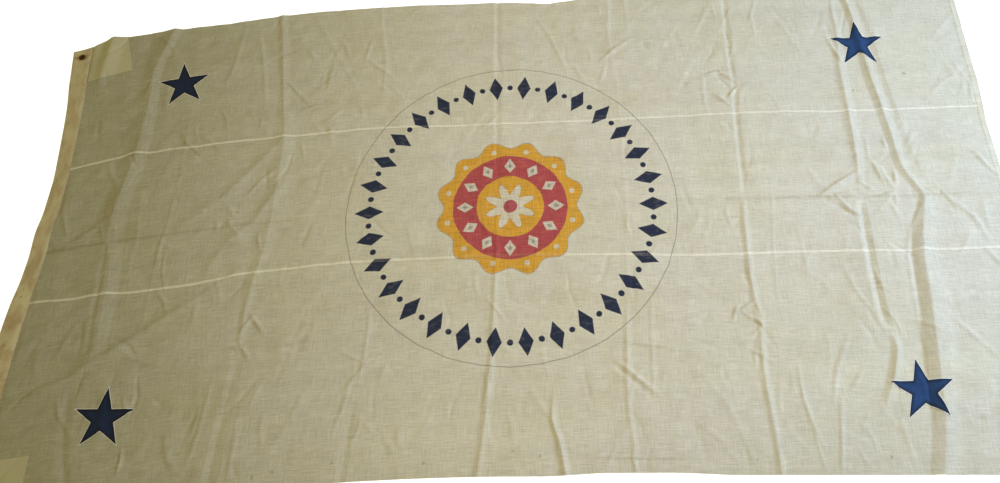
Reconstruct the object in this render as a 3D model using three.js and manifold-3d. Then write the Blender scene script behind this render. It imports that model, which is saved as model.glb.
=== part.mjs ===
// A large worn bunting flag, spread open on a flat surface. All sizes are in millimetres, +Z up.
// Three strips of cream bunting are joined by two felled seams. A canvas heading with two eyelets holds
// the hoist edge, square patches back its corners, and four stars are sewn on.
// Cloth places are given as (s, t): s along the fly from the middle of the flag, t up the hoist.
import * as THREE from 'three';
import { mergeVertices } from 'three/addons/utils/BufferGeometryUtils.js';
import Module from 'manifold-3d';

// Size of the flag as it lies
const HALF_FLY = 1408;
const HALF_HOIST = 762;
const BEND_START = 34;
const BEND_RATE = 6.44e-5;

// Cloth
const CLOTH = 1.2;
const HEM_EXTRA = 0.6;
const TOP_HEM = 12;
const BOTTOM_HEM = 20;
const FLY_HEM = 18;
const SEAM_EXTRA = 0.8;
const SEAM_WIDTH = 8;
const STEP = 1;
const GAP = 0.3;
const SEWN_ON = 0.8;

// Heading: two canvas layers sewn flat, with the strips let into a slot along the inner edge
const HEADING_WIDTH = 50;
const CANVAS = 0.7;
const TUCK = 11;
const SLOT_END_GAP = 1.5;
const FOLD_ROUND = 1.2;
const RAMP = 12;

// Eyelets
const EYELET_IN = 25;
const EYELET_FROM_END = 41;
const EYELET_HOLE_R = 5.25;
const EYELET_BARREL_R = 6.2;
const EYELET_R = 11;
const EYELET_FLANGE = 0.8;
const EYELET_CROWN = 1.1;
const EYELET_CROWN_R = 7;
const EYELET_SIDES = 20;

const HEADING_HEIGHT = CANVAS * 2 + CLOTH + GAP * 2;
const HEADING_INNER = -HALF_FLY + HEADING_WIDTH;

// Patches: the corners of each as [s, t], against the heading first
const PATCH_SIDE_GAP = 3;
const PATCH_NEAR = HEADING_INNER + PATCH_SIDE_GAP + GAP;
const PATCH_END = HALF_HOIST - 2;
const PATCHES = {
  patch_upper: [[PATCH_NEAR, 605], [-1226, 627], [-1262, PATCH_END], [PATCH_NEAR, PATCH_END]],
  patch_lower: [[PATCH_NEAR, -PATCH_END], [-1255, -PATCH_END], [-1255, -598], [PATCH_NEAR, -598]],
};

// Stars: the middle of each as [s, t], and its turn in degrees
const STAR_R = 83;
const STAR_INNER = 0.382;
const STARS = {
  star_upper_hoist: { middle: [-1043, 534], turn: 9.5 },
  star_lower_hoist: { middle: [-1082, -530], turn: 0 },
  star_upper_fly: { middle: [1078, 538], turn: 0 },
  star_lower_fly: { middle: [1054, -552], turn: 1.7 },
};

// Unevenness of the outline: [t, shift along the fly] on the hoist and fly edges, and [s, shift up the hoist]
// on the top and bottom edges, with how far inwards each is felt
const HOIST_EDGE = [[-762, -44], [-500, -38], [-335, -31], [-196, -21], [-143, -16], [-90, -6], [0, 2],
  [80, 0], [137, 10], [260, 14], [324, 10], [457, 1], [525, -6], [600, -18], [670, -25], [762, -33]];
const HOIST_REACH = 240;
const FLY_EDGE = [[-762, 0], [-100, 0], [100, -4], [240, -8], [320, -3], [400, 0], [762, 0]];
const TOP_EDGE = [[-1408, -27], [-1360, -18], [-1345, -12], [-1330, 0], [-1315, 6], [-1230, 2], [-1130, 4],
  [-1030, 0], [-930, -5], [-830, 0], [-630, 3], [-531, -1], [-331, -4], [-231, -9], [-33, -14], [65, -16],
  [112, -24], [200, -12], [450, 0], [1408, 0]];
const BOTTOM_EDGE = [[-1408, 0], [100, 0], [230, 8], [420, 8], [560, 2], [1408, 0]];
const EDGE_REACH = 160;

// The two seams, as [s, t]
const UPPER_SEAM = [[-1408, 275], [-1340, 279], [-1240, 286], [-1140, 294], [-1090, 288], [-1040, 293],
  [-990, 287], [-840, 288], [-760, 284], [-540, 285], [-440, 288], [-360, 286], [-200, 278], [-40, 277],
  [200, 281], [440, 288], [660, 293], [840, 296], [960, 292], [1140, 293], [1408, 299]];
const LOWER_SEAM = [[-1408, -154], [-1340, -159], [-1240, -168], [-1140, -167], [-1090, -175], [-940, -178],
  [-840, -173], [-780, -164], [-690, -162], [-440, -157], [-280, -161], [40, -159], [280, -162],
  [540, -169], [840, -164], [1080, -167], [1408, -158]];

// Storage folds that run down the hoist. Points are [t, s, height of the crest], from the bottom edge up.
// left and right are how far the cloth stands off the surface on each side of the crest. A fine fold has
// more columns.
const FOLDS_DOWN = [
  { left: 24, right: 40, fine: false, points: [[-762, -1320, 0], [540, -1320, 0], [618, -1316, 5],
    [690, -1308, 9], [762, -1300, 11]] },
  { left: 60, right: 36, fine: true, points: [[-762, -1124, 4], [-680, -1150, 4], [-600, -1175, 4],
    [-520, -1186, 4], [-450, -1191, 3], [-390, -1168, 3], [-344, -1147, 6], [-250, -1147, 8],
    [-130, -1151, 9], [-50, -1160, 8], [20, -1184, 7], [100, -1174, 9], [184, -1158, 9], [360, -1147, 9],
    [560, -1145, 8], [657, -1137, 8], [762, -1108, 8]] },
  { left: 20, right: 25, fine: false, points: [[-762, -1035, 0], [-350, -1035, 0], [-256, -1027, 2],
    [-130, -1025, 2], [30, -1010, 2], [184, -1001, 2], [420, -1002, 1], [762, -990, 0]] },
  { left: 18, right: 26, fine: true, points: [[-762, -776, 4], [-600, -763, 4], [-450, -745, 4],
    [-344, -742, 4], [-280, -740, 5], [-150, -723, 5], [-80, -708, 5], [30, -700, 6], [250, -692, 6],
    [330, -697, 6], [426, -712, 5], [602, -733, 5], [762, -755, 5]] },
  { left: 22, right: 22, fine: false, points: [[-762, -428, 3], [-619, -420, 3], [-465, -397, 3],
    [-344, -386, 3], [-250, -395, 0], [350, -396, 0], [560, -397, 2], [650, -416, 2], [762, -424, 2]] },
  { left: 22, right: 22, fine: true, points: [[-762, -84, 6], [-700, -74, 6], [-600, -62, 6],
    [-520, -56, 6], [-400, -48, 5], [-190, -40, 4], [30, -37, 2], [250, -40, 2], [520, -41, 3],
    [762, -42, 3]] },
  { left: 16, right: 25, fine: false, points: [[-762, 140, 8], [-674, 126, 8], [-619, 106, 7],
    [-540, 116, 0], [762, 112, 0]] },
  { left: 25, right: 25, fine: false, points: [[-762, 314, 3], [-700, 316, 3], [-600, 306, 3],
    [-450, 311, 5], [-410, 312, 5], [-300, 318, 1], [30, 334, 2], [400, 330, 1], [600, 310, 2],
    [700, 317, 3], [762, 320, 3]] },
  { left: 20, right: 19, fine: true, points: [[-762, 673, 6], [-663, 670, 6], [-520, 662, 6],
    [-420, 663, 6], [-375, 673, 6], [-310, 663, 6], [-223, 659, 6], [-30, 663, 5], [10, 670, 3],
    [50, 674, 4], [300, 679, 4], [400, 687, 4], [500, 683, 4], [762, 688, 4]] },
  { left: 18, right: 20, fine: false, points: [[-762, 782, 2], [-690, 772, 2], [-560, 752, 2],
    [-420, 735, 0], [-272, 724, 2], [-110, 735, 2], [10, 750, 2], [96, 747, 2], [283, 743, 2],
    [430, 742, 1], [762, 736, 0]] },
  { left: 22, right: 24, fine: true, points: [[-762, 935, 0], [-600, 950, 1], [-558, 968, 5],
    [-520, 987, 8], [-480, 1000, 8], [-430, 1014, 7], [-395, 1004, 4], [-300, 988, 6], [-157, 988, 6],
    [-40, 990, 5], [20, 998, 4], [96, 1004, 6], [240, 1009, 6], [420, 1009, 6], [480, 1012, 5],
    [600, 1018, 3], [762, 1010, 2]] },
  { left: 28, right: 45, fine: true, points: [[-762, 1058, 11], [-680, 1081, 12], [-613, 1098, 14],
    [-470, 1111, 16], [-400, 1118, 17], [-300, 1128, 17], [-200, 1134, 16], [-135, 1143, 15],
    [-100, 1149, 14], [-60, 1157, 12], [10, 1170, 8], [60, 1152, 8], [96, 1139, 9], [150, 1127, 9],
    [206, 1119, 10], [327, 1106, 10], [400, 1097, 10], [520, 1088, 9], [668, 1079, 9], [762, 1068, 8]] },
];

// Storage folds that run along the fly. Points are [s, t, height of the crest], from the hoist outwards.
const ACROSS_REACH = 22;
const FOLD_LOW = [[-1408, -400, 0], [-1065, -365, 3], [-911, -405, 3], [-740, -377, 5], [-515, -380, 2],
  [-300, -385, 0], [300, -415, 0], [400, -425, 2], [600, -400, 2], [675, -380, 6], [890, -388, 4],
  [1000, -386, 4], [1150, -390, 0], [1408, -390, 0]];
const FOLD_MID = [[-1408, 2, 0], [-1340, 1, 3], [-1250, 0, 5], [-1190, -1, 5], [-1000, -3, 3],
  [-700, -3, 2], [-450, 2, 0], [450, 10, 0], [600, 11, 2], [750, 9, 3], [890, 11, 4], [1000, 8, 4],
  [1165, 7, 3], [1408, 12, 2]];
const FOLD_HIGH = [[-1408, 400, 0], [-600, 404, 1], [-400, 404, 2], [-250, 405, 0], [300, 410, 0],
  [450, 412, 2], [690, 404, 5], [890, 390, 3], [1010, 400, 3], [1100, 400, 0], [1408, 400, 0]];
const FOLDS_ACROSS = [FOLD_LOW, FOLD_MID, FOLD_HIGH];

// Value of a list of points at x: the first entry is the place, and column says which entry is wanted
function at(points, x, column = 1) {
  if (x <= points[0][0]) return points[0][column];
  for (let i = 1; i < points.length; i++) {
    const [from, to] = [points[i - 1], points[i]];
    if (x <= to[0]) {
      const share = (x - from[0]) / (to[0] - from[0]);
      return from[column] + (to[column] - from[column]) * share;
    }
  }
  return points[points.length - 1][column];
}

const fade = (distance, reach) => Math.max(0, 1 - distance / reach) ** 2;

const bend = (s) => BEND_RATE * Math.max(0, BEND_START - s) ** 2;

// Where the cloth place (s, t) lies on the surface
function plan(s, t) {
  const hoist = at(HOIST_EDGE, t) * fade(s + HALF_FLY, HOIST_REACH);
  const fly = at(FLY_EDGE, t) * fade(HALF_FLY - s, EDGE_REACH);
  const top = at(TOP_EDGE, s) * fade(HALF_HOIST - t, EDGE_REACH);
  const bottom = at(BOTTOM_EDGE, s) * fade(t + HALF_HOIST, EDGE_REACH);
  return [s + hoist + fly, t + top + bottom - bend(s)];
}

// Height of the cloth's underside above the surface
function lift(s, t) {
  const intoHeading = THREE.MathUtils.clamp((HEADING_INNER + RAMP - s) / (RAMP - PATCH_SIDE_GAP), 0, 1);
  let squares = 0;
  for (const fold of FOLDS_DOWN) {
    const off = s - at(fold.points, t);
    const crest = at(fold.points, t, 2) * fade(Math.abs(off), off < 0 ? fold.left : fold.right);
    squares += crest ** 2;
  }
  for (const fold of FOLDS_ACROSS) {
    const crest = at(fold, s, 2) * fade(Math.abs(t - at(fold, s)), ACROSS_REACH);
    squares += crest ** 2;
  }
  return Math.sqrt(squares) * (1 - intoHeading) + (CANVAS + GAP) * intoHeading;
}

// Columns of the cloth's grid, each a function of t: they follow the folds that run down the hoist
function makeColumns() {
  const fillSpacing = 130;
  const shoulder = 0.4;
  const fixed = (s) => () => s;
  const columns = [HEADING_INNER - TUCK, HEADING_INNER + PATCH_SIDE_GAP, HEADING_INNER + RAMP].map(fixed);
  const addFill = (next) => {
    const last = columns[columns.length - 1];
    const count = Math.floor((next(0) - last(0)) / fillSpacing);
    for (let i = 1; i <= count; i++) {
      columns.push((t) => last(t) + (next(t) - last(t)) * i / (count + 1));
    }
  };
  for (const { left, right, fine, points } of FOLDS_DOWN) {
    const offsets = fine ? [-left, -shoulder * left, 0, shoulder * right, right] : [-left, 0, right];
    const follow = offsets.map((offset) => (t) => at(points, t) + offset);
    addFill(follow[0]);
    columns.push(...follow);
  }
  const flyHem = [HALF_FLY - FLY_HEM - STEP, HALF_FLY - FLY_HEM, HALF_FLY].map(fixed);
  addFill(flyHem[0]);
  columns.push(...flyHem);
  return columns;
}

// Rows of each strip, from its lower edge up: where each row runs, and the extra cloth of hem or seam on it
const level = (t, extra = 0) => ({ run: () => t, extra });
const along = (points, offset, extra = 0) => ({ run: (s) => at(points, s) + offset, extra });
const acrossFold = (fold) => [-ACROSS_REACH, 0, ACROSS_REACH].map((offset) => along(fold, offset));
const seamEdge = (seam) => [along(seam, GAP / 2, SEAM_EXTRA), along(seam, SEAM_WIDTH, SEAM_EXTRA),
  along(seam, SEAM_WIDTH + STEP)];

const ROWS = {
  panel_lower: [level(-HALF_HOIST, HEM_EXTRA), level(-HALF_HOIST + BOTTOM_HEM, HEM_EXTRA),
    level(-HALF_HOIST + BOTTOM_HEM + STEP), level(-650), level(-540), level(-450), ...acrossFold(FOLD_LOW),
    level(-260), along(LOWER_SEAM, -GAP / 2)],
  panel_middle: [...seamEdge(LOWER_SEAM), level(-80), ...acrossFold(FOLD_MID), level(110), level(200),
    along(UPPER_SEAM, -GAP / 2)],
  panel_upper: [...seamEdge(UPPER_SEAM), level(350), ...acrossFold(FOLD_HIGH), level(520), level(640),
    level(HALF_HOIST - TOP_HEM - STEP), level(HALF_HOIST - TOP_HEM, HEM_EXTRA), level(HALF_HOIST, HEM_EXTRA)],
};
const COLUMNS = makeColumns();

// Extra thickness of hems and seams, which end before the heading
function extraCloth(s, rowExtra) {
  if (s < HEADING_INNER + RAMP - STEP) return 0;
  const onFlyHem = s > HALF_FLY - FLY_HEM - STEP / 2;
  return Math.max(rowExtra, onFlyHem ? HEM_EXTRA : 0);
}

// A closed layer of cloth over a strip's grid. under and over are heights above the strip's two faces.
function layer(rows, under, over) {
  const low = [];
  const high = [];
  for (const { run, extra } of rows) {
    for (const column of COLUMNS) {
      const t = run(column(0));
      const s = column(t);
      const [x, y] = plan(s, t);
      const floor = lift(s, t);
      const top = floor + CLOTH + extraCloth(s, extra);
      low.push([x, y, under === null ? floor : top + under]);
      high.push([x, y, top + over]);
    }
  }
  const wide = COLUMNS.length;
  const size = low.length;
  const triangles = [];
  const quad = (a, b, c, d) => triangles.push(a, b, c, a, c, d);
  for (let r = 0; r + 1 < rows.length; r++) {
    for (let c = 0; c + 1 < wide; c++) {
      const [a, b, d, e] = [r * wide + c, r * wide + c + 1, (r + 1) * wide + c + 1, (r + 1) * wide + c];
      quad(size + a, size + b, size + d, size + e);
      quad(a, e, d, b);
    }
  }
  const lastRow = (rows.length - 1) * wide;
  for (let c = 0; c + 1 < wide; c++) {
    quad(c, c + 1, size + c + 1, size + c);
    quad(lastRow + c + 1, lastRow + c, size + lastRow + c, size + lastRow + c + 1);
  }
  for (let r = 0; r + 1 < rows.length; r++) {
    const [a, b] = [r * wide, (r + 1) * wide];
    quad(b, a, size + a, size + b);
    const [e, f] = [a + wide - 1, b + wide - 1];
    quad(e, f, size + f, size + e);
  }
  return indexed([...low, ...high].flat(), triangles);
}

function indexed(positions, triangles) {
  const geometry = new THREE.BufferGeometry();
  geometry.setAttribute('position', new THREE.Float32BufferAttribute(positions, 3));
  geometry.setIndex(triangles);
  return geometry;
}

// Cutting and trimming
const wasm = await Module();
wasm.setup();

function toSolid(geometry) {
  const bare = geometry.clone();
  bare.deleteAttribute('normal');
  bare.deleteAttribute('uv');
  const merged = mergeVertices(bare, 1e-4);
  return new wasm.Manifold(new wasm.Mesh({
    numProp: 3,
    vertProperties: new Float32Array(merged.attributes.position.array),
    triVerts: new Uint32Array(merged.index.array),
  }));
}

function toGeometry(solid) {
  const mesh = solid.getMesh();
  return indexed(Array.from(mesh.vertProperties), Array.from(mesh.triVerts));
}

// An upright prism over an outline of cloth places, tall enough to pass right through the cloth
function prismOver(outline) {
  const reach = 60;
  const shape = new THREE.Shape(outline.map(([s, t]) => new THREE.Vector2(...plan(s, t))));
  const prism = new THREE.ExtrudeGeometry(shape, { depth: 2 * reach, bevelEnabled: false });
  return prism.translate(0, 0, -reach);
}

// A piece sewn on top of a strip: the strip's own folds, trimmed to the outline
function sewnOn(strip, outline) {
  const sheet = toSolid(layer(ROWS[strip], GAP, GAP + SEWN_ON));
  return toGeometry(sheet.intersect(toSolid(prismOver(outline))));
}

// A star that keeps its true shape on the surface, whatever the bend of the cloth under it
function starOutline({ middle: [s, t], turn }) {
  const points = [];
  for (let i = 0; i < 10; i++) {
    const radius = i % 2 === 0 ? STAR_R : STAR_R * STAR_INNER;
    const angle = THREE.MathUtils.degToRad(90 + turn + 36 * i);
    const along = s + radius * Math.cos(angle);
    points.push([along, t + radius * Math.sin(angle) + bend(along) - bend(s)]);
  }
  return points;
}

// Heading: one section swept down the hoist, then holed for the eyelets
function headingGeometry() {
  const slot = HEADING_WIDTH - TUCK - SLOT_END_GAP;
  const top = HEADING_HEIGHT;
  const section = [[FOLD_ROUND, 0], [HEADING_WIDTH, 0], [HEADING_WIDTH, CANVAS], [slot, CANVAS],
    [slot, top - CANVAS], [HEADING_WIDTH, top - CANVAS], [HEADING_WIDTH, top], [FOLD_ROUND, top],
    [0, top - FOLD_ROUND], [0, FOLD_ROUND]];
  const levels = Object.values(ROWS).flat().map(({ run }) => run(-HALF_FLY));
  const kept = levels.filter((t, i) => i === 0 || t - levels[i - 1] > STEP);
  const positions = kept.flatMap((t) => section.flatMap(([s, z]) => [...plan(s - HALF_FLY, t), z]));
  const around = section.length;
  const triangles = [];
  for (let r = 0; r + 1 < kept.length; r++) {
    for (let k = 0; k < around; k++) {
      const next = (k + 1) % around;
      const [a, b, c, d] = [r * around + k, r * around + next, (r + 1) * around + next, (r + 1) * around + k];
      triangles.push(a, c, b, a, d, c);
    }
  }
  const outline = section.map(([s, z]) => new THREE.Vector2(s, z));
  const lastRing = (kept.length - 1) * around;
  for (const [a, b, c] of THREE.ShapeUtils.triangulateShape(outline, [])) {
    triangles.push(a, b, c, lastRing + a, lastRing + c, lastRing + b);
  }
  let solid = toSolid(indexed(positions, triangles));
  for (const place of Object.values(EYELETS)) {
    solid = solid.subtract(toSolid(round(EYELET_BARREL_R + GAP, -top, 2 * top, place)));
    solid = solid.subtract(toSolid(round(EYELET_R + GAP, -top, EYELET_FLANGE + GAP, place)));
  }
  return toGeometry(solid);
}

// An upright round bar between two heights
function round(radius, from, to, [x, y]) {
  const bar = new THREE.CylinderGeometry(radius, radius, to - from, EYELET_SIDES);
  return bar.rotateX(Math.PI / 2).translate(x, y, (from + to) / 2);
}

const eyeletPlace = (side) => plan(-HALF_FLY + EYELET_IN, side * (HALF_HOIST - EYELET_FROM_END));
const EYELETS = { eyelet_upper: eyeletPlace(1), eyelet_lower: eyeletPlace(-1) };

// Eyelet: a barrel through the heading, its lower flange pressed into the canvas, its crown on top
function eyeletGeometry() {
  const seat = HEADING_HEIGHT + GAP;
  const chamfer = 0.4;
  const profile = [[EYELET_HOLE_R, chamfer], [EYELET_HOLE_R + chamfer, 0], [EYELET_R - chamfer, 0],
    [EYELET_R, chamfer], [EYELET_R - chamfer, EYELET_FLANGE], [EYELET_BARREL_R, EYELET_FLANGE],
    [EYELET_BARREL_R, seat], [EYELET_R - chamfer, seat], [EYELET_R, seat + chamfer],
    [EYELET_R - 2 * chamfer, seat + EYELET_FLANGE], [EYELET_CROWN_R, seat + EYELET_CROWN],
    [EYELET_HOLE_R + chamfer, seat + EYELET_FLANGE], [EYELET_HOLE_R, seat + chamfer]];
  profile.push(profile[0]);
  const points = profile.map(([r, z]) => new THREE.Vector2(r, z));
  return new THREE.LatheGeometry(points, EYELET_SIDES).rotateX(Math.PI / 2);
}

// Materials
const bunting = () => new THREE.MeshStandardMaterial({ color: 0xcfc8ae, roughness: 0.95, metalness: 0 });
const canvas = () => new THREE.MeshStandardMaterial({ color: 0xb9a877, roughness: 0.95, metalness: 0 });
const patchCloth = () => new THREE.MeshStandardMaterial({ color: 0xd6cfae, roughness: 0.95, metalness: 0 });
const navy = () => new THREE.MeshStandardMaterial({ color: 0x1f2f55, roughness: 0.9, metalness: 0 });
const tarnished = () => new THREE.MeshStandardMaterial({ color: 0x4a3322, roughness: 0.6, metalness: 0.8 });

const flag = new THREE.Group();

function addPiece(name, geometry, material) {
  const mesh = new THREE.Mesh(geometry, material);
  mesh.name = name;
  flag.add(mesh);
  return mesh;
}

for (const [name, rows] of Object.entries(ROWS)) {
  addPiece(name, layer(rows, null, 0), bunting());
}
addPiece('heading', headingGeometry(), canvas());
addPiece('patch_upper', sewnOn('panel_upper', PATCHES.patch_upper), patchCloth());
addPiece('patch_lower', sewnOn('panel_lower', PATCHES.patch_lower), patchCloth());
for (const [name, star] of Object.entries(STARS)) {
  addPiece(name, sewnOn(star.middle[1] > 0 ? 'panel_upper' : 'panel_lower', starOutline(star)), navy());
}
for (const [name, [x, y]] of Object.entries(EYELETS)) {
  addPiece(name, eyeletGeometry(), tarnished()).position.set(x, y, 0);
}

export default flag;
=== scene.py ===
"""A large worn bunting flag, spread open on a pale floor, with its cloth, sewing and paint in detail.

Cloth places are (s, t) in millimetres: s along the fly from the middle of the flag, t up the hoist.
plan() says where such a place lies on the floor, and cloth_rise() how far the cloth stands off it there.
"""
import math

import bpy
import numpy as np
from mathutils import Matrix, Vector


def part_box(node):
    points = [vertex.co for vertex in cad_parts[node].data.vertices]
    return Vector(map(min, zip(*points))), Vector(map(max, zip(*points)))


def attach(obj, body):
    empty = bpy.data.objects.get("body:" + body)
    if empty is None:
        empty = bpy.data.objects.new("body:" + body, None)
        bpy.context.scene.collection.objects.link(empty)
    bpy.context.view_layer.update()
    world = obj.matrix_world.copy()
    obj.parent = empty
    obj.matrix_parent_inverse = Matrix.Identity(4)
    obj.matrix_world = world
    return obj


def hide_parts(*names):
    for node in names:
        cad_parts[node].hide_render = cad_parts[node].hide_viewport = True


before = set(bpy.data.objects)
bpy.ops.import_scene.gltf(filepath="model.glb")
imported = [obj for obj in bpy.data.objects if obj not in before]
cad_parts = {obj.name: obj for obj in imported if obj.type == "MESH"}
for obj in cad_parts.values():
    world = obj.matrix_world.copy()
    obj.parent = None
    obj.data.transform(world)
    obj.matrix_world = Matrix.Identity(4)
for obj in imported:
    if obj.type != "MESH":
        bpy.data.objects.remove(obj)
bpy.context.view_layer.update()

MM = 0.001
CLOTH_MAP = "cloth"
# name of the mesh's share of darkening from use, grime and painted shade
WEAR_AND_SHADE = "wear_and_shade"
SHARP_ANGLE = 62

# Size of the flag as it lies
HALF_FLY = 1408
HALF_HOIST = 762
BEND_START = 34
BEND_RATE = 6.44e-5

# Cloth
CLOTH = 1.0
LEAST_RISE = 0.15
HEM_EXTRA = 0.6
TOP_HEM = 12
BOTTOM_HEM = 20
FLY_HEM = 18
SEAM_EXTRA = 0.8
SEAM_WIDTH = 8
GAP = 0.3
SEWN_ON = 0.7

# Heading
HEADING_WIDTH = 50
HEADING_INNER = HEADING_WIDTH - HALF_FLY
HEADING_HEIGHT = 3.2
CANVAS = 0.7
TUCK = 11
RAMP = 12
RAMP_FLAT = 3

# Patches: the corners of each, against the heading first
PATCH_NEAR = HEADING_INNER + 3.3
PATCH_END = HALF_HOIST - 2
PATCHES = {
    "patch_upper": [(PATCH_NEAR, 605), (-1226, 627), (-1262, PATCH_END), (PATCH_NEAR, PATCH_END)],
    "patch_lower": [(PATCH_NEAR, -PATCH_END), (-1255, -PATCH_END), (-1255, -598), (PATCH_NEAR, -598)],
}

# Eyelets
EYELETS = ("eyelet_upper", "eyelet_lower")
EYELET_IN = 25
EYELET_FROM_END = 41
EYELET_HOLE_R = 5.25
EYELET_BARREL_R = 6.2
EYELET_R = 11
EYELET_SEAT = HEADING_HEIGHT + GAP
EYELET_CROWN = 1.1
EYELET_FLANGE = 0.8
EYELET_SIDES = 64

# Stars: the middle of each, and its turn in degrees
STAR_R = 83
STAR_INNER = 0.382
STAR_WORN = 13
STARS = {
    "star_upper_hoist": ((-1043, 534), 9.5),
    "star_lower_hoist": ((-1082, -530), 0),
    "star_upper_fly": ((1078, 538), 0),
    "star_lower_fly": ((1054, -552), 1.7),
}


class Line:
    """Given points read as a smooth curve. The first column is the place along it."""

    step = 5
    rounding = 7

    def __init__(self, points):
        self.places = np.arange(-1500, 1501, self.step)
        columns = np.array(points, float).T
        weights = np.hanning(2 * self.rounding + 3)[1:-1]
        weights /= weights.sum()
        self.values = []
        for column in columns[1:]:
            corners = np.interp(self.places, columns[0], column)
            self.values.append(np.convolve(np.pad(corners, self.rounding, mode="edge"), weights, "valid"))

    def __call__(self, place, column=0):
        return np.interp(place, self.places, self.values[column])


# Unevenness of the outline: (t, shift along the fly) on the hoist and fly edges, and (s, shift up the hoist)
# on the top and bottom edges, with how far inwards each is felt
hoist_edge = Line([(-762, -44), (-500, -38), (-335, -31), (-196, -21), (-143, -16), (-90, -6), (0, 2),
                   (80, 0), (137, 10), (260, 14), (324, 10), (457, 1), (525, -6), (600, -18), (670, -25),
                   (762, -33)])
HOIST_REACH = 240
fly_edge = Line([(-762, 0), (-100, 0), (100, -4), (240, -8), (320, -3), (400, 0), (762, 0)])
top_edge = Line([(-1408, -27), (-1360, -18), (-1345, -12), (-1330, 0), (-1315, 6), (-1230, 2),
                 (-1130, 4), (-1030, 0), (-930, -5), (-830, 0), (-630, 3), (-531, -1), (-331, -4),
                 (-231, -9), (-33, -14), (65, -16), (112, -24), (200, -12), (450, 0), (1408, 0)])
bottom_edge = Line([(-1408, 0), (100, 0), (230, 8), (420, 8), (560, 2), (1408, 0)])
EDGE_REACH = 160

# The two seams, as (s, t)
upper_seam = Line([(-1408, 275), (-1340, 279), (-1240, 286), (-1140, 294), (-1090, 288), (-1040, 293),
                   (-990, 287), (-840, 288), (-760, 284), (-540, 285), (-440, 288), (-360, 286),
                   (-200, 278), (-40, 277), (200, 281), (440, 288), (660, 293), (840, 296), (960, 292),
                   (1140, 293), (1408, 299)])
lower_seam = Line([(-1408, -154), (-1340, -159), (-1240, -168), (-1140, -167), (-1090, -175),
                   (-940, -178), (-840, -173), (-780, -164), (-690, -162), (-440, -157), (-280, -161),
                   (40, -159), (280, -162), (540, -169), (840, -164), (1080, -167), (1408, -158)])

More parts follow.
